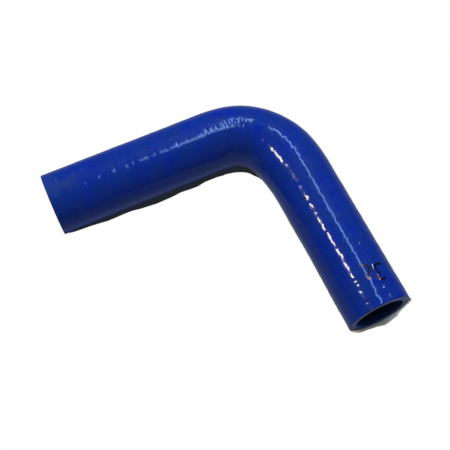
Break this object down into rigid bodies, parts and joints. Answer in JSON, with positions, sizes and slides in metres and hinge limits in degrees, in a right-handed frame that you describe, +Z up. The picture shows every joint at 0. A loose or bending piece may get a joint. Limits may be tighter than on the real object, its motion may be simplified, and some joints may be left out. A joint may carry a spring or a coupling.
{
  "type": "silicone elbow hose",
  "caption": "Blue silicone hose elbow that joins two pipes at a right angle, with square cut ends and a thick wall.",
  "frame": {"origin": "centre of the bottom of the hose's bounding box, on the floor it lies on", "axes": "+Z up; the left leg runs along -X from the bend and the right leg along -Y"},
  "size_m": [0.1794, 0.177, 0.0419],
  "materials": {
    "blue_silicone": "gloss"
  },
  "bodies": {
    "root": {"elbow_hose": "blue_silicone"}
  },
  "joints": []
}
